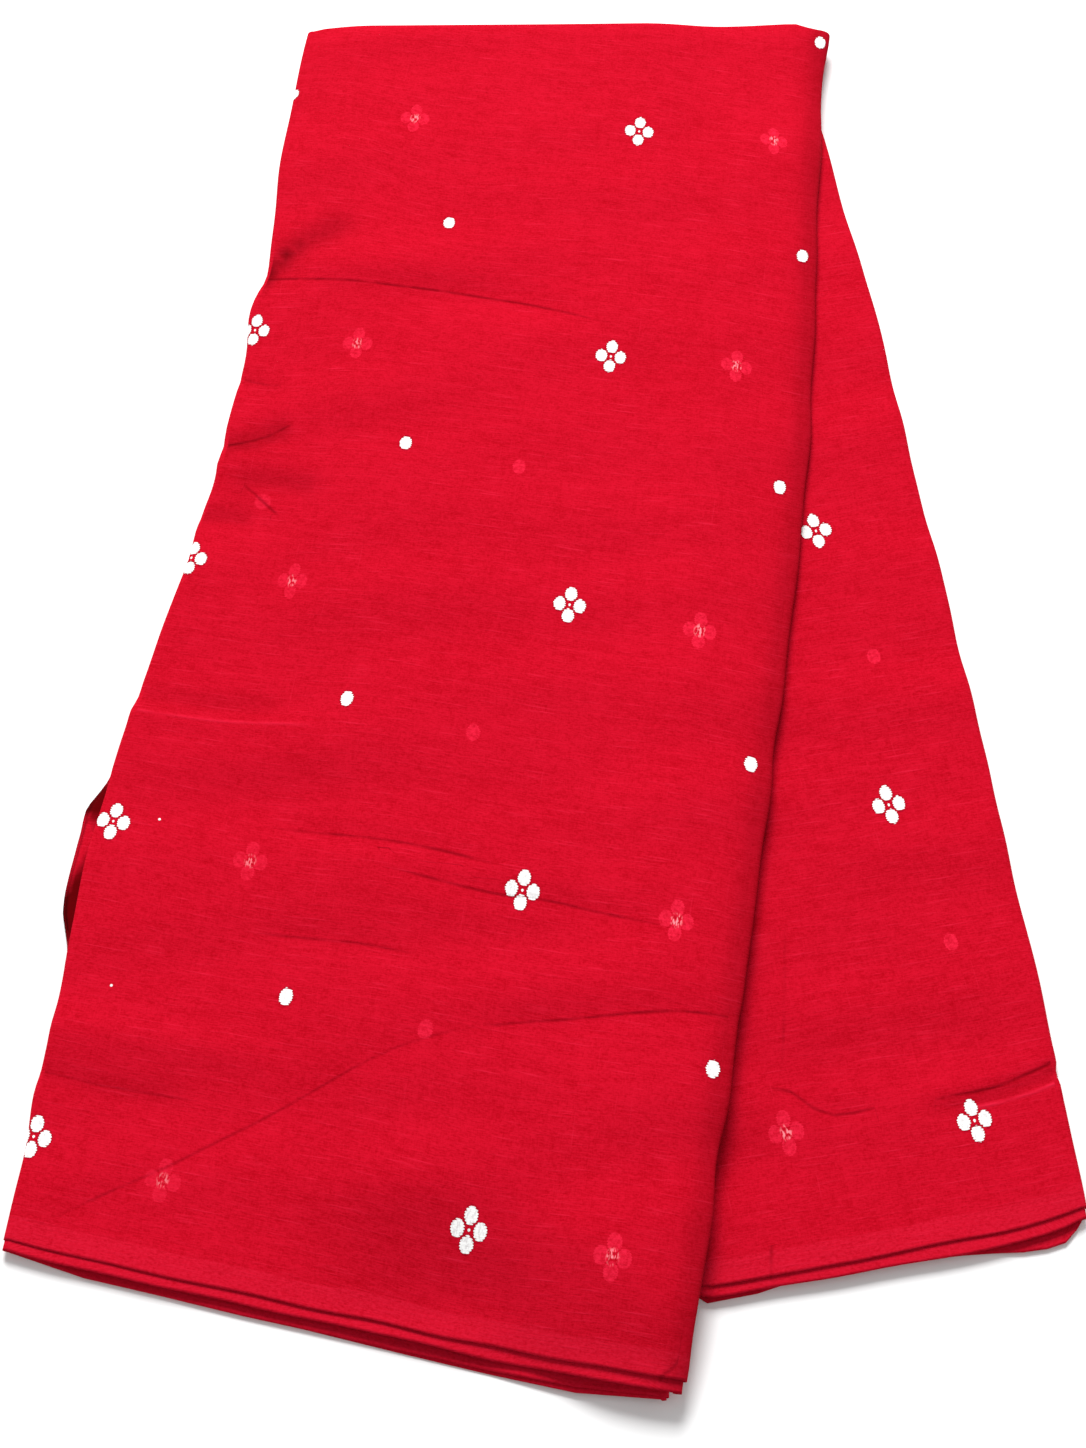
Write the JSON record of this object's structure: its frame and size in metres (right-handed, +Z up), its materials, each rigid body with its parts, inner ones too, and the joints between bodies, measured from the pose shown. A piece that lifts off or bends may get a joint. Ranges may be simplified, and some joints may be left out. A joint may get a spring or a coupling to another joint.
{
  "type": "jamdani fabric, a folded length of red cotton",
  "caption": "Length of red jamdani cotton, doubled across its width and folded back and forth into panels that fan from one corner.",
  "frame": {"origin": "centre of the bounding box on the surface that the cloth lies on", "axes": "+X to the right and +Y away from the viewer, from the selvedges towards the doubling fold, +Z up"},
  "size_m": [0.3676, 0.5814, 0.0173],
  "materials": {
    "red_cotton": "matte"
  },
  "bodies": {
    "root": {"folded_cloth": "red_cotton"}
  },
  "joints": []
}
